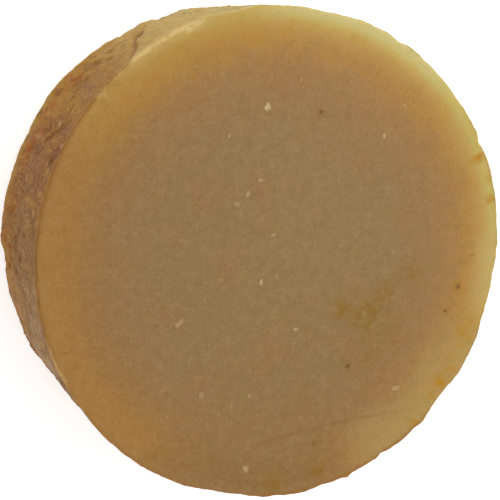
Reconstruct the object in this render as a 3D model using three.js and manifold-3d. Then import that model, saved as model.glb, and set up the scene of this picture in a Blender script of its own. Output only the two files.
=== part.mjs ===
// A round shaving soap puck: a disc sliced from a cast cylinder of soap, with the hard grains
// that are set in it. Millimetres, +Z up. The origin is the middle of the face it rests on.
//
// The soap is one casting. Both flat faces are knife cuts, and the wall is the rough skin that
// came out of the mould. Every grain is a solid of its own, seated in its own pocket.

import * as THREE from "three";
import { mergeVertices } from "three/addons/utils/BufferGeometryUtils.js";
import Module from "manifold-3d";

const wasm = await Module();
wasm.setup();

// Driving dimensions.
const DIAMETER = 76.2;
const THICKNESS = 25.4;
const EDGE_ROUND = 0.5;
const SEAT_GAP = 0.1; // all round each grain

// How finely the soap is divided.
const SECTORS = 96;
const WALL_BANDS = 7;
const EDGE_STEPS = 2;

// The rough wall: waves round the puck and up it, each [waves round, half waves up, depth, turn].
const WALL_WAVES = [
  [2, 0, 0.1, 0.6],
  [5, 1, 0.1, 1.9],
  [9, 2, 0.12, 0.3],
  [14, 3, 0.1, 2.6],
  [21, 5, 0.08, 4.1],
];

// Bites out of the upper edge, each [degrees round, reach along the edge, depth].
const EDGE_NICKS = [
  [260, 8, 0.35],
  [301.5, 1.6, 0.4],
  [322, 6, 0.75],
  [347, 9, 0.4],
];
const NICK_HEIGHT = 3.5;

// Crumbs of soap left on the upper edge by the knife, each [degrees round, size].
const EDGE_CRUMBS = [
  [270, 1.1],
  [291.5, 1.8],
];

// Grains in the upper face, each [x, y, length, width, turn in degrees, corners].
const PALE_FACE_GRAINS = [
  [-4.0, 22.7, 1.5, 1.3, 90, 3],
  [1.1, 27.0, 0.7, 0.6, 0, 5],
  [18.9, 23.9, 0.6, 0.6, 20, 5],
  [15.8, 19.1, 0.9, 0.7, 80, 4],
  [-9.9, 18.2, 0.8, 0.7, 100, 5],
  [-4.4, 11.8, 1.2, 0.7, 10, 4],
  [-6.3, 9.7, 1.2, 0.9, 60, 4],
  [-8.0, 8.1, 1.4, 1.0, 160, 5],
  [-1.8, 3.5, 1.0, 0.6, 20, 4],
  [-3.3, -3.8, 1.2, 0.6, 85, 4],
  [-16.0, -9.9, 1.9, 0.7, 38, 4],
  [2.9, -11.3, 1.2, 0.8, 15, 3],
  [19.0, 0.8, 1.0, 0.7, 30, 5],
  [14.6, -9.0, 1.2, 0.9, 150, 5],
  [21.3, -21.5, 1.9, 1.0, 10, 4],
  [-12.0, -21.2, 1.2, 1.0, 70, 5],
  [-7.0, -23.1, 1.1, 0.8, 90, 4],
  [-4.1, -21.7, 1.1, 0.9, 110, 5],
  [-3.9, -33.3, 1.5, 1.1, 290, 3],
  [4.8, -25.6, 1.0, 0.8, 40, 5],
];
const BROWN_FACE_GRAINS = [
  [4.8, 22.4, 0.9, 0.7, 0, 5],
  [12.5, -17.5, 1.0, 0.8, 30, 5],
  [31.4, -4.9, 1.1, 1.0, 60, 5],
  [29.4, -8.9, 0.7, 0.6, 0, 4],
  [33.5, 0.3, 0.6, 0.5, 45, 4],
  [7.7, -29.9, 0.9, 0.8, 110, 5],
];

// Grains in the wall, each [degrees round, height, length, width, turn in degrees, corners].
const PALE_WALL_GRAINS = [
  [137, 20.5, 1.3, 0.9, 20, 4],
  [144, 13.5, 1.1, 0.8, 70, 5],
  [151, 17.5, 1.4, 0.9, 120, 4],
  [160, 21.0, 1.1, 0.9, 40, 5],
];
const GRAIN_DEPTH = 0.8; // a grain is this share of its width deep
const WALL_GRAIN_STANDS_OUT = 0.15;
const CORNER_SHARPNESS = 0.16;

const soapMaterial = new THREE.MeshStandardMaterial({ color: 0xa07f50, roughness: 0.55, metalness: 0 });
const paleMaterial = new THREE.MeshStandardMaterial({ color: 0xd8c9a4, roughness: 0.7, metalness: 0 });
const brownMaterial = new THREE.MeshStandardMaterial({ color: 0x6a3f22, roughness: 0.6, metalness: 0 });

// Closed geometry whose shared vertices are merged, as a manifold solid. Triangles that shrank to
// a line where the vertices met, such as those at a pole, are left out.
function solidOf(geometry) {
  const bare = geometry.index ? geometry.clone() : mergeVertices(geometry.clone());
  bare.deleteAttribute("normal");
  bare.deleteAttribute("uv");
  const merged = mergeVertices(bare, 1e-4);
  const corners = merged.index.array;
  const kept = [];
  for (let i = 0; i < corners.length; i += 3) {
    const [a, b, c] = [corners[i], corners[i + 1], corners[i + 2]];
    if (a !== b && b !== c && c !== a) kept.push(a, b, c);
  }
  const mesh = new wasm.Mesh({
    numProp: 3,
    vertProperties: new Float32Array(merged.attributes.position.array),
    triVerts: new Uint32Array(kept),
  });
  mesh.merge();
  return new wasm.Manifold(mesh);
}

function geometryOf(solid) {
  const mesh = solid.getMesh();
  const geometry = new THREE.BufferGeometry();
  geometry.setAttribute("position", new THREE.BufferAttribute(new Float32Array(mesh.vertProperties), 3));
  geometry.setIndex(new THREE.BufferAttribute(new Uint32Array(mesh.triVerts), 1));
  geometry.computeVertexNormals();
  return geometry;
}

// How far the wall stands out from a true cylinder, fading to nothing at the two cut faces' edges.
function wallRelief(angle, height) {
  const up = height / THICKNESS;
  let relief = 0;
  for (const [round, halfWaves, depth, turn] of WALL_WAVES) {
    relief += depth * Math.cos(round * angle + turn) * Math.cos(halfWaves * Math.PI * up + turn);
  }
  return relief;
}

// The disc: a quarter-round edge, the wall's bands and the upper edge, turned round the axis and
// then pushed in and out by the wall's relief.
function discSolid() {
  const radius = DIAMETER / 2;
  const inner = radius - EDGE_ROUND;
  const profile = [new THREE.Vector2(0, 0)];
  for (let i = 0; i <= EDGE_STEPS; i++) {
    const turn = (Math.PI / 2) * (i / EDGE_STEPS);
    profile.push(new THREE.Vector2(inner + EDGE_ROUND * Math.sin(turn), EDGE_ROUND * (1 - Math.cos(turn))));
  }
  for (let i = 1; i < WALL_BANDS; i++) {
    const height = EDGE_ROUND + (THICKNESS - 2 * EDGE_ROUND) * (i / WALL_BANDS);
    profile.push(new THREE.Vector2(radius, height));
  }
  for (let i = EDGE_STEPS; i >= 0; i--) {
    const turn = (Math.PI / 2) * (i / EDGE_STEPS);
    const drop = EDGE_ROUND * (1 - Math.cos(turn));
    profile.push(new THREE.Vector2(inner + EDGE_ROUND * Math.sin(turn), THICKNESS - drop));
  }
  profile.push(new THREE.Vector2(0, THICKNESS));

  const geometry = new THREE.LatheGeometry(profile, SECTORS);
  geometry.rotateX(Math.PI / 2);
  const position = geometry.attributes.position;
  for (let i = 0; i < position.count; i++) {
    const [x, y, z] = [position.getX(i), position.getY(i), position.getZ(i)];
    const reach = Math.hypot(x, y);
    if (reach < inner / 2) continue;
    const angle = Math.atan2(y, x);
    const pushed = reach + wallRelief(angle, z);
    position.setXY(i, pushed * Math.cos(angle), pushed * Math.sin(angle));
  }
  return solidOf(geometry);
}

// A lump with its middle at the origin, its length along X and its depth along Z. Its outline
// swells towards the given number of corners.
function lumpGeometry(length, width, depth, corners) {
  const geometry = new THREE.IcosahedronGeometry(0.5, 1);
  const position = geometry.attributes.position;
  for (let i = 0; i < position.count; i++) {
    const [x, y, z] = [position.getX(i), position.getY(i), position.getZ(i)];
    const swell = 1 + CORNER_SHARPNESS * Math.cos(corners * Math.atan2(y, x)) * Math.hypot(x, y) * 2;
    position.setXYZ(i, x * length * swell, y * width * swell, z * depth);
  }
  return geometry;
}

function faceLump([x, y, length, width, turn, corners], gap) {
  const depth = 2 * GRAIN_DEPTH * width;
  const geometry = lumpGeometry(length + 2 * gap, width + 2 * gap, depth + 2 * gap, corners);
  geometry.rotateZ(THREE.MathUtils.degToRad(turn));
  geometry.translate(x, y, THICKNESS);
  return solidOf(geometry);
}

function wallLump([degrees, height, length, width, turn, corners], gap) {
  const depth = 2 * GRAIN_DEPTH * width;
  const angle = THREE.MathUtils.degToRad(degrees);
  const surface = DIAMETER / 2 + wallRelief(angle, height);
  const middle = surface + WALL_GRAIN_STANDS_OUT - depth / 2;
  const geometry = lumpGeometry(length + 2 * gap, width + 2 * gap, depth + 2 * gap, corners);
  geometry.rotateZ(THREE.MathUtils.degToRad(turn));
  geometry.rotateY(Math.PI / 2);
  geometry.translate(middle, 0, 0);
  geometry.rotateZ(angle);
  geometry.translate(0, 0, height);
  return solidOf(geometry);
}

// Everything below the upper cut face, which trims the face's grains flush with it.
function belowFaceSolid() {
  const box = new THREE.BoxGeometry(2 * DIAMETER, 2 * DIAMETER, THICKNESS);
  box.translate(0, 0, THICKNESS / 2);
  return solidOf(box);
}

// A bite out of the upper edge: a long flat lump laid along it, standing mostly in the air.
function nickSolid([degrees, reach, depth]) {
  const geometry = new THREE.SphereGeometry(0.5, 14, 8);
  const across = 4 * depth;
  geometry.scale(across, reach, NICK_HEIGHT);
  geometry.translate(DIAMETER / 2 - depth + across / 2, 0, THICKNESS);
  geometry.rotateZ(THREE.MathUtils.degToRad(degrees));
  return solidOf(geometry);
}

// A crumb stuck to the upper edge, half buried in it and just below the cut face.
function crumbSolid([degrees, size]) {
  const geometry = new THREE.IcosahedronGeometry(size / 2, 1);
  geometry.scale(1, 1, 0.8);
  geometry.translate(DIAMETER / 2 - 0.1 * size, 0, THICKNESS - 0.6 * size);
  geometry.rotateZ(THREE.MathUtils.degToRad(degrees));
  return solidOf(geometry);
}

function meshOf(name, solid, material) {
  const mesh = new THREE.Mesh(geometryOf(solid), material);
  mesh.name = name;
  return mesh;
}

const puck = new THREE.Group();
const belowFace = belowFaceSolid();
let soap = discSolid();
for (const crumb of EDGE_CRUMBS) soap = soap.add(crumbSolid(crumb));
for (const nick of EDGE_NICKS) soap = soap.subtract(nickSolid(nick));

// Seats each grain of a list in a pocket of its own and names it by its number in the list.
function seatGrains(prefix, grains, first, lump, material, trim) {
  grains.forEach((grain, index) => {
    const whole = lump(grain, 0);
    const solid = trim ? whole.intersect(trim) : whole;
    soap = soap.subtract(lump(grain, SEAT_GAP));
    puck.add(meshOf(`${prefix}_${String(first + index).padStart(2, "0")}`, solid, material.clone()));
  });
}

seatGrains("pale_face_grain", PALE_FACE_GRAINS, 1, faceLump, paleMaterial, belowFace);
seatGrains("brown_face_grain", BROWN_FACE_GRAINS, 1, faceLump, brownMaterial, belowFace);
seatGrains("pale_wall_grain", PALE_WALL_GRAINS, 1, wallLump, paleMaterial, null);
puck.add(meshOf("soap_body", soap, soapMaterial));

export default puck;
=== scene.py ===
# %% [markdown]
# # A puck of shaving soap
# Hard soap for a shaving mug can be poured into a tube, left to set, pushed out and sliced. The
# slice is a puck: two flat faces that a knife cut, and a rough wall that the tube left behind.
# The measured model is loaded first. It says how big the puck is and where each grain sits, and
# everything below is worked out from it.

import math

import bpy
import numpy as np
from mathutils import Matrix, Vector


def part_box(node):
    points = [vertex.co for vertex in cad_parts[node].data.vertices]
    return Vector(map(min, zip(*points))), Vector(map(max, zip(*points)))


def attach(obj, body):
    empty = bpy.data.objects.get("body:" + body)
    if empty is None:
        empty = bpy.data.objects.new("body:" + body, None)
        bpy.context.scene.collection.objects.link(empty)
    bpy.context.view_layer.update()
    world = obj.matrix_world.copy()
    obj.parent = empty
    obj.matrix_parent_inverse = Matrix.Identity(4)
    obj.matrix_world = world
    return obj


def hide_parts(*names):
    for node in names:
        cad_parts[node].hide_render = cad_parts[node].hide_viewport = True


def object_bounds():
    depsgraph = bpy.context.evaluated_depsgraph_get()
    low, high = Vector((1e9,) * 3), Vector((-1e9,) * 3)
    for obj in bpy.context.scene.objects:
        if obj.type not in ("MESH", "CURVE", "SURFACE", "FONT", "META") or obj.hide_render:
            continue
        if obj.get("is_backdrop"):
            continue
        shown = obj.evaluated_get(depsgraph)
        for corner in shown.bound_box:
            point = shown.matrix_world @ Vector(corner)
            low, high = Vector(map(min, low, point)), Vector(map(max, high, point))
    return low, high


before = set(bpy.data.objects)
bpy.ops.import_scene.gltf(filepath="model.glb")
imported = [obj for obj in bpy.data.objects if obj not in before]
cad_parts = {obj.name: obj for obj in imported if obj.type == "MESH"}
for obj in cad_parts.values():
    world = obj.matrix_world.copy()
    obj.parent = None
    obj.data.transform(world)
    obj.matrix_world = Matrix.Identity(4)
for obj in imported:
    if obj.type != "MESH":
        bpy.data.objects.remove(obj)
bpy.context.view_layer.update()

# %% [markdown]
# ## The puck's own measures
# The wall is rough, so the model's box is a little wider than the puck. The true radius is the
# middle value of how far the wall's points stand from the axis.

# %% Radius and thickness
MM = 0.001


def points_of(node):
    """The corners of a node of the measured model, as rows of x, y, z."""
    return np.array([corner.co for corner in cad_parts[node].data.vertices], float)


soap_points = points_of("soap_body")
THICKNESS = float(np.ptp(soap_points[:, 2]))
from_axis = np.hypot(soap_points[:, 0], soap_points[:, 1])
RADIUS = float(np.median(from_axis[from_axis > 0.97 * from_axis.max()]))
print(f"radius {RADIUS / MM:.1f} mm, thickness {THICKNESS / MM:.1f} mm")

# %% [markdown]
# ## Camera
# The puck lies on a table and the camera looks down on it from the side where the wall shows.
# Distances are in puck radii from the middle of the upper face, so the framing holds whatever
# the puck's size. A long lens, five radii away, keeps the round face nearly round. The camera
# is rolled so that the puck's X axis stays level in the picture.

# %% Place the camera
EYE = (-1.972, 0.782, 4.532)
AIM = (-0.143, 0.031, 0.0)
LENS = 89.7

top_middle = Vector((0, 0, THICKNESS))
eye = top_middle + RADIUS * Vector(EYE)
back = (eye - top_middle - RADIUS * Vector(AIM)).normalized()
upward = back.cross(Vector((1, 0, 0))).normalized()
sideways = upward.cross(back)
camera = bpy.data.objects.new("camera", bpy.data.cameras.new("camera"))
camera.data.sensor_width, camera.data.lens = 36, LENS
camera.data.clip_start, camera.data.clip_end = 0.01, 20
camera.matrix_world = Matrix.Translation(eye) @ Matrix((sideways, upward, back)).transposed().to_4x4()
bpy.context.scene.collection.objects.link(camera)
bpy.context.scene.camera = camera
print(f"camera {(eye - top_middle).length / MM:.0f} mm from the face")

# %% [markdown]
# ## Small tools for shapes
# Three helpers do most of the shaping. `ease` goes smoothly from 0 to 1. `lumps` makes soft
# random bumps of one size that are the same on every run. `closed_surface` turns a stack of
# rings into one closed skin. Sculpting by hand could give the same roughness, but a formula can
# be changed and run again.

# %% Ease and lumps
def ease(low, high, value):
    """0 below low, 1 above high, and the curve 3t² - 2t³ between them."""
    t = np.clip((value - low) / (high - low), 0, 1)
    return t * t * (3 - 2 * t)


TABLE_SIZE = 4096
MIXERS = (73856093, 19349663, 83492791)


def lumps(points, size, seed):
    """Random numbers from -1 to 1 at the corners of a lattice, eased between the corners.

    size is the lattice's step along x, y and z. Each corner picks its number from a shuffled
    table by mixing its three whole coordinates with three large primes."""
    table = np.random.default_rng(seed).uniform(-1, 1, TABLE_SIZE)
    scaled = points / np.array(size)
    corner = np.floor(scaled).astype(np.int64)
    t = scaled - corner
    t = t * t * (3 - 2 * t)
    total = np.zeros(points.shape[:-1])
    for step in np.ndindex(2, 2, 2):
        x, y, z = np.moveaxis(corner + step, -1, 0)
        number = table[(x * MIXERS[0] ^ y * MIXERS[1] ^ z * MIXERS[2]) % TABLE_SIZE]
        total += number * np.prod(np.abs(1 - np.array(step) - t), axis=-1)
    return total


# %% Rings into a closed skin
def closed_surface(name, rings, marks=None):
    """A closed mesh from rings of points, lowest ring first, each going anticlockwise from above.

    rings has the shape (rows, columns, 3). Neighbouring rings are joined by four-sided faces,
    and the two end rings by fans to their middle points. marks are values to keep at each
    point, by name, in the shape (rows, columns)."""
    rows, columns = rings.shape[:2]
    points = np.vstack([rings[0].mean(0), rings.reshape(-1, 3), rings[-1].mean(0)])
    here = 1 + np.arange(rows)[:, None] * columns + np.arange(columns)
    right = np.roll(here, -1, axis=1)
    sides = np.stack([here[:-1], right[:-1], right[1:], here[1:]], -1).reshape(-1, 4)
    bottom = np.stack([np.zeros(columns, int), right[0], here[0]], -1)
    top = np.stack([np.full(columns, len(points) - 1), here[-1], right[-1]], -1)
    mesh = bpy.data.meshes.new(name)
    mesh.from_pydata(points.tolist(), [], bottom.tolist() + sides.tolist() + top.tolist())
    mesh.polygons.foreach_set("use_smooth", np.ones(len(mesh.polygons), bool))
    for mark, values in (marks or {}).items():
        kept = np.concatenate([[values[0].mean()], values.ravel(), [values[-1].mean()]])
        mesh.attributes.new(mark, "FLOAT", "POINT").data.foreach_set("value", kept.astype(np.float32))
    piece = bpy.data.objects.new(name, mesh)
    bpy.context.scene.collection.objects.link(piece)
    return piece


# %% [markdown]
# ## The soap's profile
# The puck's skin is a profile turned round the axis: out along the lower face, round the lower
# edge, up the wall, round the upper edge and back to the middle of the upper face. The rows lie
# close together on the wall and near the edges, where the detail is, and further apart towards
# the middle of the faces. At each row two numbers say which way is outwards and upwards, and a
# bump is pushed along them.

# %% Rows of the profile
COLUMNS = 720
EDGE = 0.28 * MM
FACE_RADIUS = RADIUS - EDGE


def face_rows(count):
    """Distances from the axis, from near the middle to the edge, closing up towards the edge."""
    t = np.linspace(0, 1, count + 1)[1:]
    return FACE_RADIUS * (1 - (1 - t) ** 1.3)


def edge_rows(count):
    """How far each row of a quarter circle has gone out and up, from 0 to 1."""
    turn = np.linspace(0, math.pi / 2, count + 2)[1:-1]
    return np.sin(turn), 1 - np.cos(turn)


WALL_ROWS = 72
lower, upper = face_rows(12), face_rows(34)[::-1]
out, up = edge_rows(5)
wall_heights = np.linspace(EDGE, THICKNESS - EDGE, WALL_ROWS)
straight = np.ones(WALL_ROWS)
row_reach = np.concatenate([
    lower, FACE_RADIUS + EDGE * out, RADIUS * straight, FACE_RADIUS + EDGE * out[::-1], upper])
row_height = np.concatenate([
    0 * lower, EDGE * up, wall_heights, THICKNESS - EDGE * up[::-1], 0 * upper + THICKNESS])
row_out = np.concatenate([0 * lower, out, straight, out[::-1], 0 * upper])
row_up = np.concatenate([0 * lower - 1, up - 1, 0 * straight, 1 - up[::-1], 0 * upper + 1])
print(len(row_reach), "rows of", COLUMNS)

# %% Points before any roughness
angle = np.linspace(0, 2 * math.pi, COLUMNS, endpoint=False)[None, :]
reach = np.repeat(row_reach[:, None], COLUMNS, axis=1)
height = np.repeat(row_height[:, None], COLUMNS, axis=1)
outward, upwardness = row_out[:, None], row_up[:, None]
smooth_points = np.stack([reach * np.cos(angle), reach * np.sin(angle), height], -1)


def along_wall(degrees):
    """How far each column is from a direction, along the wall, shortest way round."""
    turn = angle - math.radians(degrees)
    return RADIUS * ((turn + math.pi) % (2 * math.pi) - math.pi)


def near(degrees, half_width):
    """1 in a direction, falling smoothly to 0 at half_width to either side along the wall."""
    return 1 - ease(0, half_width, np.abs(along_wall(degrees)))


def between(start, end, soft):
    """1 from one direction round to another, fading at both ends over soft to either side."""
    return ease(-soft, soft, along_wall(start)) * ease(-soft, soft, -along_wall(end))


# %% [markdown]
# ## The rough wall
# The puck is a slice of a log that was pushed out of a tube. Soft swells come from the tube
# being out of round. Grit and crumbs come from soap that dried against it, and they are drawn
# out along the tube, so they stand taller than they are wide. Each kind is a layer of lumps of
# its own size and depth. Where the soap stuck it tore away in ragged hollows, and here and
# there an air bubble left a round pit.

# %% Layers of roughness
ROUGH_LAYERS = [
    # size along x, y and z, and depth, in millimetres
    ((17, 17, 14), 0.06),
    ((5, 5, 11), 0.09),
    ((2.0, 2.0, 4.8), 0.09),
    ((0.9, 0.9, 2.2), 0.09),
]


def lumps_of(size, seed):
    """Lumps on the puck's skin, from -1 to 1, of a size in millimetres."""
    return lumps(smooth_points, np.array(size) * MM, seed)


relief = sum(depth * MM * lumps_of(size, seed) for seed, (size, depth) in enumerate(ROUGH_LAYERS))
dragged = between(201, 222, 2 * MM) * lumps_of((8, 8, 1.3), 8)
relief += 0.16 * MM * dragged
print("wall roughness, mm:", round(float(np.ptp(relief[row_out == 1])) / MM, 2))

# %% Ragged hollows and crumbs
patch = ease(-0.4, 0.3, lumps_of((8, 8, 10), 11))
ragged = lumps_of((1.6, 1.6, 4), 12) + 0.6 * lumps_of((0.7, 0.7, 1.6), 13)
ragged_hollow = patch * ease(0.15, 0.65, ragged)
crumbly = ease(0.50, 0.95, lumps_of((0.8, 0.8, 1.5), 14) + 0.4 * lumps_of((0.45, 0.45, 0.8), 15))
relief += (0.18 * crumbly - 0.26 * ragged_hollow) * MM

# %% [markdown]
# One long scrape climbs the wall at a slant, where a crumb was dragged along as the log came out.

# %% The scrape
SCRAPE_WAY, SCRAPE_FROM, SCRAPE_SLANT = 187, 10 * MM, math.radians(62)
off_scrape = math.sin(SCRAPE_SLANT) * along_wall(SCRAPE_WAY)
off_scrape = off_scrape - math.cos(SCRAPE_SLANT) * (height - SCRAPE_FROM)
off_scrape = off_scrape + (0.7 * lumps_of((3, 3, 3), 18) + 0.4 * lumps_of((1.2, 1.2, 1.6), 19)) * MM
scrape = 1 - ease(0.3 * MM, 1.1 * MM, np.abs(off_scrape))
scrape = scrape * ease(6 * MM, 10 * MM, height) * (1 - ease(20 * MM, 24 * MM, height))
scrape = scrape * ease(-0.7, 0.2, lumps_of((2, 2, 2), 20))
relief -= 0.14 * MM * scrape

# %% [markdown]
# One broad flake of skin stayed on the wall while its neighbour tore off. It is thickest at its
# torn end, which slants down the wall and has a crack along it, painted dark with shade. The mask
# is 1 on the flake and 0 off it, and a wandering line joins the two. Painted shade also darkens
# the bare soap beside the crack.

# %% The flake and its crack
FLAKE_END, FLAKE_START = 129.5, 80
past_end = along_wall(FLAKE_END) + 0.47 * (22 * MM - height)
wander = (0.9 * lumps_of((3, 3, 3), 21) + 0.5 * lumps_of((1.1, 1.1, 1.4), 22)) * MM
wander = wander + 0.3 * MM * lumps_of((0.6, 0.6, 0.8), 24)
flake = 1 - ease(-0.2 * MM, 0.2 * MM, past_end + wander)
flake = flake * ease(-0.6 * MM, 0.6 * MM, along_wall(FLAKE_START) - 3 * wander)
flake = flake * (1 - between(112, 140, 2 * MM) * (1 - ease(7.5 * MM, 9 * MM, height + 2 * wander)))
open_crack = ease(-0.6, 0.3, lumps_of((1.7, 1.7, 2.2), 23))
crack = np.exp(-((past_end + wander - 0.3 * MM) / ((0.20 + 0.14 * open_crack) * MM)) ** 2)
crack = crack * (0.25 + 0.75 * open_crack) * ease(6 * MM, 11 * MM, height)
shade_beside_crack = ease(-0.2 * MM, 0.2 * MM, past_end + wander)
shade_beside_crack = shade_beside_crack * (1 - ease(0.3 * MM, 2.6 * MM, past_end + 2 * wander))
shade_beside_crack = shade_beside_crack * ease(7 * MM, 13 * MM, height)
flake_thickness = 0.24 * ease(0, 18 * MM, along_wall(90))
relief += (flake_thickness * flake - 0.22 * crack) * MM

# %% Air pits
PIT_COUNT = 170
pit_dice = np.random.default_rng(31)
pits = np.zeros_like(reach)
for _ in range(PIT_COUNT):
    middle, at_height = pit_dice.uniform(0, 360), pit_dice.uniform(0.03, 0.97) * THICKNESS
    width = (0.3 + 0.5 * pit_dice.random() ** 3) * MM
    away = np.hypot(along_wall(middle), height - at_height) / width
    pits = np.maximum(pits, width * 0.5 * (1 - ease(0.3, 1, away)))
relief -= pits
print(PIT_COUNT, "pits, deepest", round(float(pits.max()) / MM, 2), "mm")

# %% [markdown]
# ## Outline and edges
# A slice is never quite round, and its edges take the knocks. Each knock is a place on an edge,
# a half width and how far the outline stands out, or in where the number is negative. It fades
# out a few millimetres away from its edge. In two places the whole wall is a little flat. Small
# nibbles run all along the upper edge. Then a slanting cut takes each corner off, more where the
# edge is bruised.

# %% Knocks
UPPER_KNOCKS = [
    # degrees round, half width and how far it stands out, in millimetres
    (330, 75, 0.22),
    (10, 40, 0.10),
    (21, 7, 0.12),
    (29.5, 1.8, -0.34),
    (58, 4, 0.14),
    (63.5, 2.4, -0.22),
    (82, 8, -0.38),
    (106, 6, -0.30),
    (214, 4, -0.20),
    (244, 5, -0.10),
    (258.5, 8, -0.38),
    (270, 1.2, 0.12),
    (278, 8, 0.34),
    (289, 4, 0.14),
    (291.3, 1.1, 0.45),
    (301.5, 1.3, -0.34),
    (307, 3, 0.22),
    (314.3, 1.8, 0.36),
    (322.5, 4.6, -0.42),
    (343.5, 2.5, -0.20),
    (351, 9, -0.42),
]
LOWER_KNOCKS = [
    (92, 8, -0.20),
    (110, 3, -0.32),
    (115.5, 2.6, 0.36),
    (121, 3, -0.14),
    (142, 11, 0.36),
    (160, 5, 0.18),
    (174, 11, 0.30),
    (181, 2.5, 0.28),
    (186.5, 3.5, -0.24),
    (201, 4, -0.24),
    (223, 7, -0.40),
    (262, 9, 0.25),
    (301, 6, -0.25),
    (335, 8, 0.25),
    (20, 10, -0.20),
    (60, 9, 0.25),
]
WALL_FLATS = [
    (93, 6, -0.28),
    (217.5, 7.5, -0.44),
]
near_top = ease(THICKNESS - 8 * MM, THICKNESS - 1.5 * MM, height) * ease(0.88, 1, reach / RADIUS)
near_foot = 1 - ease(1.5 * MM, 10 * MM, height)


def knocked(knocks):
    """All the knocks of a list, added up: how far the outline stands out at each point."""
    return sum(stand * MM * near(degrees, half * MM) for degrees, half, stand in knocks)


NIBBLES = 0.09
nibbles = lumps_of((1.3, 1.3, 30), 43) + 0.6 * lumps_of((0.6, 0.6, 30), 44)
upper_stand = knocked(UPPER_KNOCKS) + NIBBLES * MM * nibbles
lower_stand = knocked(LOWER_KNOCKS)
relief = relief + knocked(WALL_FLATS)
reach_now = reach + outward * relief * (1 - 0.55 * near_top)
reach_now = reach_now + upper_stand * near_top + lower_stand * near_foot
print(len(UPPER_KNOCKS), "knocks on the upper edge,", len(LOWER_KNOCKS), "on the lower")

# %% The slanting cut at each edge
UPPER_BRUISES = [
    # degrees from and to, and how much more of the corner is gone, in millimetres
    (112.5, 117.5, 0.30),
    (138, 198, 0.22),
    (113, 132, 0.40),
    (135, 137.5, 0.35),
    (139.5, 142, 0.40),
    (200, 212, 0.16),
    (318, 326, 0.20),
    (40, 80, 0.10),
]
edge_lumps = lumps_of((2.4, 2.4, 30), 41)
edge_grain = lumps_of((0.9, 0.9, 0.9), 42)
upper_cut = (0.20 + 0.10 * edge_lumps + 0.05 * edge_grain) * MM
upper_cut = upper_cut + sum(more * MM * between(start, end, 0.7 * MM) * (0.9 + 0.25 * edge_lumps)
                            for start, end, more in UPPER_BRUISES)
lower_cut = (0.50 + 0.35 * edge_lumps + 0.15 * edge_grain) * MM

top_excess = np.clip(reach_now + height - (RADIUS + upper_stand + THICKNESS - upper_cut), 0, None)
low_excess = np.clip(reach_now - height - (RADIUS + lower_stand - lower_cut), 0, None)
reach_now = reach_now - top_excess / 2 - low_excess / 2
height_now = height - top_excess / 2 + low_excess / 2
print("most of the corner gone, mm:", round(float(upper_cut.max()) / MM, 2))

# %% [markdown]
# ## The cut faces
# A knife drags as it goes through soap. The face is flat to a few hundredths of a millimetre,
# with one low step where the blade shifted. The step is a curve across the face, and the same
# formula places a thin line of painted shade along its foot in the finish later.

# %% Faces
STEP_START, STEP_END = -6 * MM, 25 * MM


def step_line(x):
    """Where the blade's step lies in y, for each x: a parabola that flattens to the right."""
    return 0.24 * x - 3.5 * x * x - 29 * MM


face_x, face_y = smooth_points[..., 0], smooth_points[..., 1]
below_step = ease(-0.5 * MM, 0.5 * MM, step_line(face_x) - face_y)
below_step = below_step * ease(STEP_START, STEP_START + 8 * MM, face_x)
sway = lumps_of((14, 14, 14), 51)
top_face = np.clip(upwardness, 0, None)
low_face = np.clip(-upwardness, 0, None)
height_now = height_now - top_face * (0.02 * MM * (1 + sway) + 0.05 * MM * below_step)
height_now = height_now + low_face * 0.02 * MM * (1 + sway)

# %% [markdown]
# ## Marks that the colours will follow
# Colour on the real puck follows its shape: worn edges and crumbs are pale with dried soap, and
# rusty stains lie in patches on the face and round the brown grains. Hollows get painted shade,
# and so do the crack and the bare soap beside it. Each of these is worked out here once and kept
# on the mesh, so the finish can read it.

# %% Stains on the upper face
STAINS = [
    # x, y, size in millimetres, strength
    (17.5, -12.5, 7.0, 0.36),
    (23.0, -3.0, 4.0, 0.30),
    (10.6, -8.3, 2.0, 0.70),
    (12.8, -9.4, 2.0, 0.60),
    (15.8, -8.4, 2.3, 0.76),
    (15.0, -10.8, 2.0, 0.72),
    (16.2, -16.2, 2.6, 0.40),
    (17.8, -6.0, 2.3, 0.62),
    (19.2, -9.6, 1.8, 0.45),
    (20.4, -3.4, 1.7, 0.40),
    (22.4, -2.5, 1.7, 0.55),
    (15.4, -20.6, 1.9, 0.40),
    (17.0, -22.4, 1.5, 0.30),
    (5.0, -22.6, 2.0, 0.28),
    (8.4, -34.3, 1.6, 0.66),
    (1.1, -35.9, 1.8, 0.70),
    (-19.4, -30.6, 1.4, 0.40),
    (25.3, -27.2, 1.0, 0.55),
    (29.6, -20.9, 1.3, 0.95),
    (30.6, -19.7, 1.1, 0.60),
    (31.9, -16.6, 1.3, 0.42),
    (33.8, -13.6, 1.4, 0.50),
    (28.3, -22.6, 1.2, 0.55),
    (31.4, -18.7, 1.0, 0.70),
    (32.7, -12.4, 1.3, 0.60),
    (34.6, -11.2, 1.1, 0.55),
    (32.8, -14.8, 1.2, 0.40),
    (33.0, 16.2, 0.9, 0.90),
    (31.4, 15.4, 0.8, 0.45),
    (31.8, 12.1, 1.0, 0.40),
    (35.9, 9.4, 0.9, 0.80),
    (35.0, 12.8, 0.9, 0.40),
    (32.2, 4.4, 1.0, 0.48),
    (25.8, 24.3, 1.6, 0.30),
]
GRAIN_STAIN, GRAIN_STAIN_SPREAD = 0.6, 0.8
brown_nodes = sorted(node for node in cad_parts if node.startswith("brown_face_grain"))
for node in brown_nodes:
    low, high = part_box(node)
    middle, spread = (low + high) / 2, GRAIN_STAIN_SPREAD * (high - low).length
    STAINS.append((middle.x / MM, middle.y / MM, spread / MM, GRAIN_STAIN))


def stained(across, along):
    """The strongest stain at each point: strength × exp(-(distance / size)²)."""
    strongest = np.zeros_like(across)
    for x, y, size, strength in STAINS:
        away = np.hypot(across - x * MM, along - y * MM) / (size * MM)
        strongest = np.maximum(strongest, strength * np.exp(-away * away))
    return strongest


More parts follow.
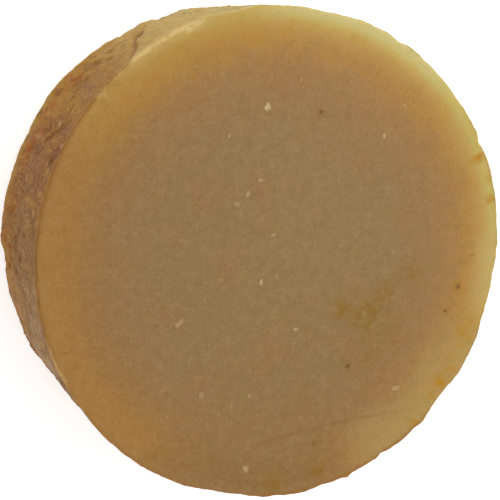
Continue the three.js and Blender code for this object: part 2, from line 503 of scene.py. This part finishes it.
stains = stained(face_x, face_y) * top_face
print(len(STAINS), "stains,", len(brown_nodes), "of them round brown grains")

# %% Skin, hollows, crumbs, ash and worn edges
skin = np.repeat(ease(0.25, 0.9, row_out)[:, None], COLUMNS, axis=1)
# Painted shade: this mark darkens the ragged hollows, pits, crack, scrape and the low streaks of the dragged
# stretch.
hollow = 0.9 * ragged_hollow + ease(0.05 * MM, 0.35 * MM, pits) + 0.8 * crack + 0.8 * scrape
hollow = hollow + 0.5 * ease(0.15, 0.8, -dragged)
ash_patches = ease(-0.3, 0.9, lumps_of((6, 6, 6), 61) + 0.5 * lumps_of((2, 2, 3), 62))
ash = ash_patches * (0.3 + 0.7 * near(208, 22 * MM)) * (1 - 0.8 * np.clip(hollow, 0, 1))
torn_edge = between(112.5, 132, 0.7 * MM) + 0.6 * between(199, 212, 0.8 * MM)
torn_edge = torn_edge + 0.5 * between(134.5, 138, 0.5 * MM) + 0.5 * between(139.5, 142.5, 0.5 * MM)
worn = ease(0, 0.10 * MM, top_excess) * torn_edge
marks = {
    "skin": skin,
    "hollow": np.clip(hollow, 0, 1) * skin,
    "ash": np.clip(ash, 0, 1) * skin,
    "crumb": np.clip(crumbly, 0, 1) * skin,
    "worn": worn,
    "torn": between(110, 133, 3 * MM) + 0 * reach,
    "crack": np.clip(0.9 * crack + 0.6 * shade_beside_crack, 0, 1) * skin,
    "flake": flake * skin,
    "stain": stains,
}
print({mark: round(float(values.max()), 2) for mark, values in marks.items()})

# %% Make the soap
soap_rings = np.stack([reach_now * np.cos(angle), reach_now * np.sin(angle), height_now], -1)
soap = closed_surface("soap_puck", soap_rings, marks)
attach(soap, "root")
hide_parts("soap_body")
print("soap:", len(soap.data.polygons), "faces")

# %% [markdown]
# ## The grains
# Crumbs of undissolved soap and specks of browned fat are set in the puck, and the knife sliced
# through those that show. The measured model has each one as a rough lump. Here each lump is
# made again, finer: from its middle, a ray goes out in every direction as far as the measured
# lump reaches that way, with some roughness. The knife then trims those in the face level with it.

# %% A grain from its measured lump
GRAIN_ROWS, GRAIN_COLUMNS = 13, 24


def grain_directions():
    """Unit directions from straight down to straight up, in rings."""
    rise = np.linspace(-math.pi / 2, math.pi / 2, GRAIN_ROWS + 2)[1:-1, None]
    turn = np.linspace(0, 2 * math.pi, GRAIN_COLUMNS, endpoint=False)[None, :]
    rise, turn = np.broadcast_arrays(rise, turn)
    return np.stack([np.cos(rise) * np.cos(turn), np.cos(rise) * np.sin(turn), np.sin(rise)], -1)


def grain(node, slot_name, buried):
    """A fine lump in place of a measured one: middle + direction × reach × (1 + roughness).

    The reach in a direction is the furthest that any of the lump's corners goes that way. The
    film of soap over a grain grows from what is given at its middle to 1 at its outline."""
    corners = points_of(node)
    middle = (corners.min(0) + corners.max(0)) / 2
    directions = grain_directions()
    furthest = (directions @ (corners - middle).T).max(-1)
    skin_points = middle + directions * furthest[..., None]
    rough = 1 + 0.22 * lumps(skin_points, [0.45 * MM] * 3, 71) + 0.1 * lumps(skin_points, [0.2 * MM] * 3, 72)
    rings = middle + directions * (0.95 * furthest * rough)[..., None]
    if "face" in node:
        rings[..., 2] = np.minimum(rings[..., 2], THICKNESS + 0.01 * MM)
    spread = np.hypot(rings[..., 0] - middle[0], rings[..., 1] - middle[1])
    outwards = ease(0.3, 1.05, spread / spread.max(0) + 0.5 * (rough - 1)) if "face" in node else 0.4 * rough
    film = np.clip(buried + (1 - buried) * outwards, 0, 1)
    marks_here = {"film": film, "stain": stained(rings[..., 0], rings[..., 1])}
    piece = closed_surface(node.replace("_", "-"), rings, marks_here)
    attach(piece, "root")
    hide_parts(node)
    return piece


# %% [markdown]
# A thin film of soap still covers most grains, which makes them faint. How deep each one is
# buried, from 0 to 1, is set grain by grain until each is as faint as the real one. It is kept
# on the mesh, so that one finish serves them all.

# %% Make the grains
BURIED = {
    "pale_face_grain": [0.34, 0.74, 0.73, 0.60, 0.74, 0.71, 0.68, 0.83, 0.74, 0.52,
                        0.70, 0.71, 0.84, 0.93, 0.74, 0.83, 0.85, 0.86, 0.63, 0.92],
    "brown_face_grain": [0.15, 0.15, 0.40, 0.30, 0.50, 0.72],
    "pale_wall_grain": [0.60, 0.65, 0.40, 0.55],
}
pale_grains, brown_grains = [], []
for kind, depths in BURIED.items():
    made = brown_grains if kind.startswith("brown") else pale_grains
    for number, buried in enumerate(depths, 1):
        slot_name = "brown_grain" if kind.startswith("brown") else "pale_grain"
        made.append(grain(f"{kind}_{number:02d}", slot_name, buried))
print(len(pale_grains), "pale grains,", len(brown_grains), "brown grains")

# %% [markdown]
# ## Writing a finish as sums
# Blender builds a finish from nodes joined by wires. Reading that as code is easier when a wire
# can be added and multiplied like a number, so `Wire` wraps one and adds a Math node for each
# sign. `Finish.node` makes any other node: first its settings, then its inputs.

# %% Wires and finishes
class Wire:
    """A value or colour on its way through a finish's nodes. Sums on it add Math nodes."""

    def __init__(self, finish, socket):
        self.finish, self.socket = finish, socket

    def sum(self, operation, *parts):
        return self.finish.node("ShaderNodeMath", {"operation": operation}, dict(enumerate(parts)))

    def __add__(self, other):
        return self.sum("ADD", self, other)

    def __sub__(self, other):
        return self.sum("SUBTRACT", self, other)

    def __rsub__(self, other):
        return self.sum("SUBTRACT", other, self)

    def __mul__(self, other):
        return self.sum("MULTIPLY", self, other)

    def __truediv__(self, other):
        return self.sum("DIVIDE", self, other)

    def __pow__(self, other):
        return self.sum("POWER", self, other)

    def __abs__(self):
        return self.sum("ABSOLUTE", self)

    __radd__, __rmul__ = __add__, __mul__


class Finish:
    """A material under construction, with one Principled shader."""

    def __init__(self, name, **uniform):
        self.material = bpy.data.materials.new(name)
        self.material.use_nodes = True
        self.tree = self.material.node_tree
        self.shader = self.tree.nodes["Principled BSDF"]
        for socket, value in uniform.items():
            self.shader.inputs[socket.replace("_", " ")].default_value = value

    def node(self, kind, settings=None, inputs=None, output=0):
        made = self.tree.nodes.new(kind)
        for name, value in (settings or {}).items():
            if name == "stops":
                set_stops(made.color_ramp, value)
            else:
                setattr(made, name, value)
        for socket, value in (inputs or {}).items():
            self.feed(made.inputs[socket], value)
        return Wire(self, made.outputs[output])

    def feed(self, socket, value):
        if isinstance(value, Wire):
            self.tree.links.new(value.socket, socket)
        else:
            socket.default_value = value

    def cover(self, pieces, **varying):
        """Feeds what varies over the surface to the shader, and puts the finish on the pieces."""
        for socket, value in varying.items():
            self.feed(self.shader.inputs[socket.replace("_", " ")], value)
        for piece in pieces:
            piece.data.materials.append(self.material)
        print(self.material.name, "has", len(self.tree.nodes), "nodes on", len(pieces), "pieces")


def set_stops(ramp, stops):
    """Puts (place, colour) stops on a colour ramp, which starts with two."""
    for place, colour in stops[2:]:
        ramp.elements.new(place)
    for element, (place, colour) in zip(ramp.elements, stops):
        element.position, element.color = place, colour


# %% [markdown]
# ## Colours and patterns
# Colours are picked as they look in the studio, from 0 to 255, and turned into the amounts of
# light that Blender works with. The studio's white gloss is taken off first, and the rest is
# divided by how brightly the lamps light the soap. The wall is seen at a slant and faces the
# white table, so it gets more of both. A few more helpers mix two colours by a mask, read a mark
# from the mesh and lay down noise of a given size in millimetres.

# %% Colour and pattern helpers
ON_THE_FACE = (0.98, 0.010)
ON_THE_WALL = (1.13, 0.031)


def colour(red, green, blue, studio=ON_THE_FACE):
    """The base colour that looks like this in the studio, as amounts of light."""
    shares = np.array([red, green, blue]) / 255
    linear = np.where(shares <= 0.04045, shares / 12.92, ((shares + 0.055) / 1.055) ** 2.4)
    brightness, gloss = studio
    return (*(np.clip(linear - gloss, 0.004, None) / brightness), 1.0)


def wall_tint(red, green, blue):
    """The same for the wall, which the studio lights more."""
    return colour(red, green, blue, ON_THE_WALL)


def mix(finish, mask, first, second):
    """first where the mask is 0, second where it is 1."""
    return finish.node("ShaderNodeMix", {"data_type": "RGBA"}, {0: mask, 6: first, 7: second}, 2)


def eased(finish, low, high, value):
    """The ease function as a node: 0 below low, 1 above high."""
    return finish.node("ShaderNodeMapRange", {"interpolation_type": "SMOOTHSTEP"},
                       {"Value": value, "From Min": low, "From Max": high})


def straight_rise(finish, low, high, value):
    """0 below low, 1 above high, and a straight line between."""
    return finish.node("ShaderNodeMapRange", {}, {"Value": value, "From Min": low, "From Max": high})


def mark(finish, name):
    """A mark kept on the mesh, as a value that the finish can read."""
    return finish.node("ShaderNodeAttribute", {"attribute_name": name}, output="Fac")


def noise(finish, place, size, detail=2.0):
    """Noise from 0 to 1 whose lumps are about size millimetres across."""
    return finish.node("ShaderNodeTexNoise", {}, {"Vector": place, "Scale": 1 / (size * MM),
                                                  "Detail": detail})


def specks(finish, place, apart, radius, seed):
    """Round specks about apart millimetres from each other: 1 inside radius, fading to 0."""
    moved = finish.node("ShaderNodeMapping", {}, {"Vector": place, "Location": (seed, seed, seed)})
    from_speck = finish.node("ShaderNodeTexVoronoi", {}, {"Vector": moved, "Scale": 1 / (apart * MM)})
    return 1 - eased(finish, 0.5 * radius / apart, radius / apart, from_speck)


def ramp(finish, value, stops, tint=colour):
    """A colour that changes with a value, from (place, red, green, blue) stops."""
    return finish.node("ShaderNodeValToRGB", {"stops": [(at, tint(*look)) for at, *look in stops]},
                       {"Fac": value})


# %% [markdown]
# ## The soap's finish: the cut faces
# Light goes into soap and comes out again nearby, so the puck is dull olive in the middle and
# glows amber and then yellow near its rim, most on the side that the light comes from. The
# shader's own subsurface light makes the softness. The glow, and the shade on the far side, are
# painted into the base colour as three ramps from the middle to the rim, one for each side,
# blended by direction.

# %% Rim colours, with the painted glow and shade
# Painted glow and shade: towards the rim, the bright and amber ramps stand in for light coming through the
# soap, and the shaded ramp for shade on the far side.
# share of the radius, then red, green and blue
BRIGHT_SIDE = [(0.0, 145, 121, 80), (0.5, 148, 121, 79), (0.65, 154, 121, 78), (0.74, 162, 124, 78),
               (0.81, 171, 128, 75), (0.86, 177, 136, 75), (0.895, 184, 145, 80), (0.92, 189, 156, 86),
               (0.95, 195, 171, 95), (0.975, 199, 185, 106)]
AMBER_SIDE = [(0.0, 145, 120, 79), (0.5, 144, 117, 77), (0.65, 147, 117, 76), (0.74, 150, 116, 74),
              (0.81, 154, 116, 69), (0.86, 159, 117, 65), (0.92, 163, 119, 65), (0.97, 162, 120, 67)]
SHADED_SIDE = [(0.0, 145, 120, 79), (0.5, 145, 117, 76), (0.74, 147, 115, 72), (0.86, 144, 112, 68),
               (0.95, 143, 109, 66), (0.975, 146, 114, 73)]
STAIN_BROWN, STAIN_IN_GLOW = (142, 104, 40), (178, 126, 34)
BRIGHT_WAY, DULLER_WAY, SHADED_WAY = 45, 10, 266
PALEST_WAY, PALE_GLOW_WAY, KHAKI_WAY = 72, 356, 318


def towards(x, y, distance, degrees):
    """1 in a direction from the axis, -1 opposite it."""
    turn = math.radians(degrees)
    return (x * math.cos(turn) + y * math.sin(turn)) / (distance * RADIUS + 0.0001)


def bright_side(finish, x, y, distance):
    """1 on the bright side and 0 on the far side."""
    return straight_rise(finish, -0.38, 0.8, towards(x, y, distance, BRIGHT_WAY))


def brightness(finish, x, y, distance):
    """The bright side again, with a duller stretch in it."""
    duller = eased(finish, 0.6, 1.0, towards(x, y, distance, DULLER_WAY))
    return bright_side(finish, x, y, distance) * (1 - 0.3 * duller)


def face_colour(finish, place, x, y, distance):
    """The face's broad colour with its painted rim glow and shade, ruddy and olive patches, and golden
    patches in the glow.
    """
    wander = (noise(finish, place, 8, 4) - 0.5) * eased(finish, 0.3, 0.7, distance)
    wandering = distance + 0.09 * wander * (1 - eased(finish, 0.84, 0.94, distance))
    shaded = eased(finish, 0.8, 1.0, towards(x, y, distance, SHADED_WAY))
    bright = brightness(finish, x, y, distance)
    base = mix(finish, shaded, ramp(finish, wandering, AMBER_SIDE), ramp(finish, wandering, SHADED_SIDE))
    base = mix(finish, bright, base, ramp(finish, wandering, BRIGHT_SIDE))
    # Painted glow: an amber band near the rim, between the bright and the dull side.
    side = bright_side(finish, x, y, distance)
    halfway = side * (1 - side) * 4 * eased(finish, 0.78, 0.9, distance)
    base = mix(finish, halfway * 0.45, base, colour(180, 132, 52))
    # Painted glow near the rim by direction: a khaki stretch, the palest yellow and one pale spot.
    khaki = eased(finish, 0.85, 0.98, towards(x, y, distance, KHAKI_WAY))
    base = mix(finish, khaki * eased(finish, 0.74, 0.86, distance) * 0.6, base, colour(168, 144, 94))
    palest = eased(finish, 0.85, 0.98, towards(x, y, distance, PALEST_WAY))
    base = mix(finish, palest * eased(finish, 0.93, 0.98, distance) * 0.7, base, colour(200, 187, 132))
    pale_glow = eased(finish, 0.972, 0.998, towards(x, y, distance, PALE_GLOW_WAY))
    pale_glow = pale_glow * eased(finish, 0.84, 0.95, distance)
    base = mix(finish, pale_glow * 0.42, base, colour(192, 172, 118))
    ruddy = eased(finish, 0.48, 0.68, noise(finish, place, 6, 5)) * (1 - eased(finish, 0.8, 0.93, distance))
    base = mix(finish, ruddy * 0.36, base, colour(155, 113, 72))
    olive = eased(finish, 0.5, 0.66, noise(finish, place, 2.2, 3)) * (1 - eased(finish, 0.8, 0.93, distance))
    base = mix(finish, olive * 0.25, base, colour(142, 122, 78))
    # Painted glow: golden patches near the rim on the bright side.
    rim = eased(finish, 0.74, 0.86, distance) * (1 - eased(finish, 0.9, 0.97, distance)) * bright
    golden = eased(finish, 0.50, 0.66, noise(finish, place, 3.5, 4)) * rim
    return mix(finish, golden * 0.35, base, colour(186, 134, 54))


# %% [markdown]
# Fine marks come next. The blade leaves hair-thin drag lines that lean a little, tiny crumbs
# and dark specks are scattered all over, the stains are rusty brown on the face and painted
# amber where the rim's painted glow lies on them, and the blade's step shows as a thin line of
# painted shade along its foot.

# %% Drag lines and the blade's step
DRAG_LEAN = 9


def drag_lines(finish, place, long_size, thin_size):
    """Noise stretched along the way the blade moved, with lengths in millimetres."""
    turned = finish.node("ShaderNodeMapping", {}, {
        "Vector": place, "Rotation": (0, 0, math.radians(-DRAG_LEAN)),
        "Scale": (1 / long_size, 1 / thin_size, 1 / long_size)})
    return finish.node("ShaderNodeTexNoise", {}, {"Vector": turned, "Scale": 1 / MM, "Detail": 3})


def step_mask(finish, x, y, z, lines):
    """1 close to the step's line on the upper face, broken up by the drag lines, fading at both ends."""
    foot = 1 - eased(finish, 0.05 * MM, 0.45 * MM, abs(y - step_line(x)))
    ends = eased(finish, STEP_START, STEP_START + 9 * MM, x)
    ends = ends * (1 - eased(finish, STEP_END - 6 * MM, STEP_END, x))
    return foot * ends * lines * eased(finish, THICKNESS - 0.5 * MM, THICKNESS - 0.3 * MM, z)


# %% Marks on the face
def marked_face(finish, base, place, x, y, z, distance, lines):
    """The face with its fine marks laid on one after another, the stains last."""
    bright = brightness(finish, x, y, distance)
    clear = 1 - 0.45 * eased(finish, 0.82, 0.94, distance) * eased(finish, 0.2, 0.7, bright)
    speckle = noise(finish, place, 0.35, 4)
    base = mix(finish, eased(finish, 0.5, 0.72, speckle) * clear * 0.18, base, colour(184, 156, 110))
    base = mix(finish, eased(finish, 0.5, 0.28, speckle) * clear * 0.18, base, colour(108, 84, 50))
    cloud = noise(finish, place, 1.5, 2)
    base = mix(finish, eased(finish, 0.5, 0.7, cloud) * clear * 0.12, base, colour(176, 150, 106))
    base = mix(finish, eased(finish, 0.5, 0.3, cloud) * clear * 0.12, base, colour(116, 90, 52))
    base = mix(finish, eased(finish, 0.55, 0.8, lines) * 0.12, base, colour(174, 146, 98))
    pale = specks(finish, place, 2.6, 0.22, 0.31) + specks(finish, place, 4.1, 0.4, 0.77)
    base = mix(finish, pale * 0.22 * (1 - 0.7 * distance), base, colour(190, 162, 118))
    dark = specks(finish, place, 3.7, 0.28, 0.53)
    base = mix(finish, dark * clear * 0.3, base, colour(116, 84, 46))
    # Painted shade: a thin dark line along the foot of the blade's step.
    base = mix(finish, step_mask(finish, x, y, z, lines) * 0.4, base, colour(112, 78, 42))
    ragged = mark(finish, "stain") * (3.4 * noise(finish, place, 0.9, 6) - 0.7)
    ragged = eased(finish, 0.0, 1.0, ragged)
    # Painted glow: the rusty stains turn amber near the rim on the bright side.
    rim = eased(finish, 0.76, 0.88, distance) * eased(finish, 0.1, 0.3, bright)
    rust_and_glow = mix(finish, rim, colour(*STAIN_BROWN), colour(*STAIN_IN_GLOW))
    return mix(finish, ragged * 0.85, base, rust_and_glow)


# %% [markdown]
# ## The soap's finish: the wall
# The wall has dried, so it is browner and blotchy. Its colour goes round with direction, with
# painted glow and shade: khaki on the bright side, dark brown away from the light and greyer
# brown on the smeared side. Its foot is painted amber where light gets through, painted shade
# darkens the hollows and the crack, and a pale ash of dried soap lies between the hollows. The
# torn stretch of the upper edge is pale too.

# %% Wall colours, with painted glow and shade
WALL_WAY, HIDDEN_WALL_WAY, RUSTY_WAY, SMEARED_WAY = 82, 25, 172, 212
DRAWN_OUT = 0.42  # how much slower the wall's pattern changes along the tube than round it
ROUND_THE_WALL = [
    # (1 + how far towards the bright side) / 2, then the colour
    (0.08, 137, 99, 58), (0.22, 145, 114, 80), (0.31, 141, 107, 68), (0.44, 133, 96, 52),
    (0.56, 134, 90, 44), (0.67, 146, 99, 45), (0.78, 163, 118, 54), (0.87, 180, 145, 78),
    (0.94, 187, 163, 96)]


def wall_colour(finish, tall_place, x, y, z, distance):
    """The wall's broad colour: a ramp by direction with painted glow and shade, a foot painted golden for
    light that gets through, and blotches of two sizes.
    """
    broad = noise(finish, tall_place, 6, 4) - 0.5
    # Painted glow and shade: the ramp pales towards the nearer of two lit ways, one of them following the
    # face's bright side round the back, and turns dark brown away from them.
    bright_way = towards(x, y, distance, WALL_WAY)
    bright_way = bright_way.sum("MAXIMUM", bright_way, towards(x, y, distance, HIDDEN_WALL_WAY))
    way = 0.5 + 0.5 * bright_way + 0.16 * broad
    base = ramp(finish, way, ROUND_THE_WALL, wall_tint)
    duller = 1 - eased(finish, 0.75, 0.9, way)
    # Painted shade: darker towards the top on the duller side.
    base = mix(finish, eased(finish, 9 * MM, 17 * MM, z) * duller * 0.28, base, wall_tint(110, 74, 36))
    # Painted glow: the foot is amber, and its lowest band golden olive, where light gets through.
    foot = (1 - eased(finish, 2 * MM, 10 * MM, z + 7 * MM * broad)) * duller
    base = mix(finish, foot * 0.5, base, wall_tint(166, 108, 38))
    lowest = (1 - eased(finish, 0.8 * MM, 5 * MM, z + 3 * MM * broad)) * eased(finish, 0.42, 0.6, way)
    base = mix(finish, lowest * duller * 0.75, base, wall_tint(168, 138, 60))
    base = mix(finish, mark(finish, "flake") * 0.30, base, wall_tint(190, 168, 108))
    blotch = noise(finish, tall_place, 1.5, 5)
    strength = 0.6 + 0.4 * duller
    base = mix(finish, eased(finish, 0.5, 0.3, blotch) * strength * 0.40, base, wall_tint(112, 74, 36))
    base = mix(finish, eased(finish, 0.52, 0.72, blotch) * strength * 0.32, base, wall_tint(174, 128, 64))
    golden = noise(finish, tall_place, 3.2, 3)
    base = mix(finish, eased(finish, 0.5, 0.66, golden) * 0.28, base, wall_tint(168, 122, 40))
    return mix(finish, eased(finish, 0.5, 0.34, golden) * 0.24, base, wall_tint(138, 108, 84))


def weathered(finish, base, place, tall_place, x, y, z, distance):
    """The wall with painted shade in hollows and crack, ash, crumbs, flecks, rusty spots, smears and the
    rim's painted glow.
    """
    fine = noise(finish, tall_place, 0.5, 4)
    grain = noise(finish, tall_place, 0.3, 4)
    # Painted shade in the hollows.
    base = mix(finish, mark(finish, "hollow") * (0.1 + 0.7 * grain), base, wall_tint(100, 62, 26))
    # Painted shade in the crack and on the bare soap beside it.
    base = mix(finish, mark(finish, "crack") * 0.62, base, wall_tint(126, 76, 32))
    patchy = mark(finish, "ash") * eased(finish, 0.35, 0.65, fine)
    base = mix(finish, patchy * 0.42, base, wall_tint(176, 150, 114))
    base = mix(finish, mark(finish, "crumb") * 0.36, base, wall_tint(206, 164, 108))
    base = mix(finish, eased(finish, 0.52, 0.68, grain) * 0.28, base, wall_tint(198, 162, 112))
    base = mix(finish, eased(finish, 0.48, 0.32, grain) * 0.32, base, wall_tint(94, 62, 22))
    low = (1 - eased(finish, 7 * MM, 12 * MM, z)) * eased(finish, 1 * MM, 4 * MM, z)
    rusty_way = eased(finish, 0.3, 0.8, towards(x, y, distance, RUSTY_WAY))
    red = eased(finish, 0.52, 0.66, noise(finish, place, 2.0, 3)) * low * rusty_way
    base = mix(finish, red * 0.48, base, wall_tint(170, 92, 44))
    streaks = finish.node("ShaderNodeMapping", {}, {"Vector": place, "Scale": (1, 1, 2)})
    streak = noise(finish, streaks, 6, 2) - 0.5
    smeared = eased(finish, 0.92, 0.985, towards(x, y, distance, SMEARED_WAY) + 0.1 * (fine - 0.5))
    base = mix(finish, eased(finish, 0.0, 0.16, streak) * smeared * 0.55, base, wall_tint(178, 152, 120))
    base = mix(finish, eased(finish, 0.0, -0.16, streak) * smeared * 0.6, base, wall_tint(108, 80, 50))
    # Painted glow: the wall turns pale yellow just under the upper edge on the bright side.
    bright = brightness(finish, x, y, distance)
    glow = eased(finish, THICKNESS - 2.4 * MM, THICKNESS - 0.4 * MM, z) * eased(finish, 0.6, 0.8, bright)
    return mix(finish, glow * 0.9, base, wall_tint(198, 182, 118))


def torn_edges(finish, base, place, distance, z):
    """A pale halo beside the torn stretch of the upper edge, and pale soap where it is worn."""
    smeared = noise(finish, place, 0.9, 4)
    from_corner = abs(RADIUS - distance * RADIUS) + abs(THICKNESS - z)
    halo = mark(finish, "torn") * (1 - eased(finish, 0, 2.4 * MM, from_corner + 1 * MM * (smeared - 0.5)))
    base = mix(finish, halo * 0.6, base, colour(192, 167, 104))
    pale = mark(finish, "worn") * eased(finish, 0.20, 0.60, smeared)
    return mix(finish, pale * 0.66, base, colour(214, 190, 134))


def soft_corner(finish, base, place, x, y, z, distance):
    """Painted shade round the upper edge: browner on the side away from the light, and a thin darker line
    along it on the bright side.
    """
    from_corner = 2 * abs(RADIUS - distance * RADIUS) + abs(THICKNESS - z)
    wandering = from_corner + 1.6 * MM * (noise(finish, place, 1.4, 4) - 0.5)
    # Painted shade: the corner is browned on the side away from the light.
    away = 1 - eased(finish, 0.1 * MM, 1.7 * MM, wandering)
    bright = eased(finish, 0.2, 0.45, brightness(finish, x, y, distance))
    base = mix(finish, away * (1 - bright) * 0.8, base, colour(149, 108, 58))
    # Painted shade: a thin darker line along the corner on the bright side.
    edge_shade_line = (1 - eased(finish, 0.2 * MM, 0.6 * MM, from_corner)) * bright
    return mix(finish, edge_shade_line * 0.4, base, colour(152, 132, 80))


# %% The whole soap finish
soap_finish = Finish("shaving soap", Subsurface_Weight=0.5, Subsurface_Radius=(1.0, 0.5, 0.18),
                     Subsurface_Scale=1.2 * MM, Specular_IOR_Level=0.14)
place = soap_finish.node("ShaderNodeTexCoord", output="Object")
x, y, z = (soap_finish.node("ShaderNodeSeparateXYZ", {}, {0: place}, axis) for axis in "XYZ")
distance = (x * x + y * y) ** 0.5 / RADIUS
lines = drag_lines(soap_finish, place, 14, 0.35)
face = face_colour(soap_finish, place, x, y, distance)
face = marked_face(soap_finish, face, place, x, y, z, distance, lines)
tall_place = soap_finish.node("ShaderNodeMapping", {}, {"Vector": place, "Scale": (1, 1, DRAWN_OUT)})
wall = wall_colour(soap_finish, tall_place, x, y, z, distance)
wall = weathered(soap_finish, wall, place, tall_place, x, y, z, distance)
on_wall = mark(soap_finish, "skin")
colour_all = soft_corner(soap_finish, mix(soap_finish, on_wall, face, wall), place, x, y, z, distance)
colour_all = torn_edges(soap_finish, colour_all, place, distance, z)

grit = noise(soap_finish, place, 0.45, 5)
roughness = 0.46 + 0.12 * grit + 0.2 * on_wall
bumps = (1 - on_wall) * (0.5 * lines + 0.25 * grit) + on_wall * 2.6 * grit
bump = soap_finish.node("ShaderNodeBump", {}, {"Height": bumps, "Distance": 0.06 * MM, "Strength": 0.5})
soap_finish.cover([soap], Base_Color=colour_all, Roughness=roughness, Normal=bump)

# %% [markdown]
# ## The grains' finishes
# A grain is chalky where the knife opened it. Where a film of soap still covers it, its colour
# is mixed with the soap's colour at that place, painted glow and shade included, by the amount
# kept on its mesh, so it has no hard outline.

# %% Pale and brown grains
def grain_finish(name, pieces, dark, light):
    """A crumbly mix of a dark and a light colour, under a film of the soap's colour with its painted glow
    and shade.
    """
    finish = Finish(name, Subsurface_Weight=0.4, Subsurface_Radius=(1.0, 0.7, 0.4),
                    Subsurface_Scale=0.8 * MM, Specular_IOR_Level=0.3)
    place = finish.node("ShaderNodeTexCoord", output="Object")
    x, y, z = (finish.node("ShaderNodeSeparateXYZ", {}, {0: place}, axis) for axis in "XYZ")
    distance = (x * x + y * y) ** 0.5 / RADIUS
    if "wall" in name:
        tall_place = finish.node("ShaderNodeMapping", {}, {"Vector": place, "Scale": (1, 1, DRAWN_OUT)})
        film = wall_colour(finish, tall_place, x, y, z, distance)
    else:
        film = face_colour(finish, place, x, y, distance)
        film = mix(finish, mark(finish, "stain") * 0.7, film, colour(*STAIN_BROWN))
    crumbly = noise(finish, place, 0.4, 5)
    base = mix(finish, eased(finish, 0.35, 0.65, crumbly), dark, light)
    base = mix(finish, mark(finish, "film"), base, film)
    bump = finish.node("ShaderNodeBump", {}, {"Height": crumbly, "Distance": 0.1 * MM, "Strength": 0.6})
    finish.cover(pieces, Base_Color=base, Roughness=0.6 + 0.2 * crumbly, Normal=bump)


face_pale = [piece for piece in pale_grains if "face" in piece.name]
wall_pale = [piece for piece in pale_grains if "wall" in piece.name]
grain_finish("pale grain", face_pale, colour(198, 169, 120), colour(225, 200, 152))
grain_finish("pale wall grain", wall_pale, colour(176, 150, 104), colour(210, 188, 146))
grain_finish("brown grain", brown_grains, colour(98, 64, 22), colour(118, 84, 38))

# %% [markdown]
# ## Studio
# The puck lies on a plain white table that is lit a little from below, as tables for product
# pictures are, so its shadow stays pale. A pale sky lights it from all round, and a large soft
# lamp and a small low one stand to the upper right, where the rim glows most.

# %% Table
TABLE_RADIUS, TABLE_SIDES = 3.0, 96
table_angle = np.linspace(0, 2 * math.pi, TABLE_SIDES, endpoint=False)
table_rim = np.stack([TABLE_RADIUS * np.cos(table_angle), TABLE_RADIUS * np.sin(table_angle),
                      0 * table_angle], -1)
table_mesh = bpy.data.meshes.new("table")
table_mesh.from_pydata(table_rim.tolist(), [], [list(range(TABLE_SIDES))])
table = bpy.data.objects.new("table", table_mesh)
bpy.context.scene.collection.objects.link(table)
table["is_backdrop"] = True
table_finish = Finish("white table", Roughness=0.6, Specular_IOR_Level=0.2,
                      Emission_Color=(1, 1, 1, 1), Emission_Strength=0.46)
table_place = table_finish.node("ShaderNodeTexCoord", output="Object")
table_cloud = noise(table_finish, table_place, 300, 2)
table_finish.cover([table], Base_Color=mix(table_finish, table_cloud, (0.86, 0.86, 0.86, 1),
                                           (0.89, 0.89, 0.89, 1)))

# %% Sky and lamps
SKY = 0.85


def lamp(name, degrees, elevation, away, size, power):
    """A square soft lamp that faces the puck, in a direction round and above it."""
    turn, rise = math.radians(degrees), math.radians(elevation)
    way = Vector((math.cos(turn) * math.cos(rise), math.sin(turn) * math.cos(rise), math.sin(rise)))
    light = bpy.data.lights.new(name, "AREA")
    light.size, light.energy = size, power
    made = bpy.data.objects.new(name, light)
    made.location = way * away
    made.rotation_euler = way.to_track_quat("Z", "Y").to_euler()
    bpy.context.scene.collection.objects.link(made)


sky = bpy.data.worlds.new("sky")
sky.use_nodes = True
sky.node_tree.nodes["Background"].inputs["Color"].default_value = (1, 1, 1, 1)
sky.node_tree.nodes["Background"].inputs["Strength"].default_value = SKY
bpy.context.scene.world = sky
lamp("key", 50, 60, 0.7, 0.45, 1.2)
lamp("low side", 40, 14, 0.6, 0.25, 0.3)
bpy.context.scene.view_settings.view_transform = "Standard"
print("sky", SKY, "and 2 lamps")

# %% [markdown]
# ## The size
# The fine model's box is printed, in millimetres. The fine model may stand only a little
# proud of the measured one.

# %% Size
low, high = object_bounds()
print("visual box, mm:", [round(side / MM, 1) for side in high - low])
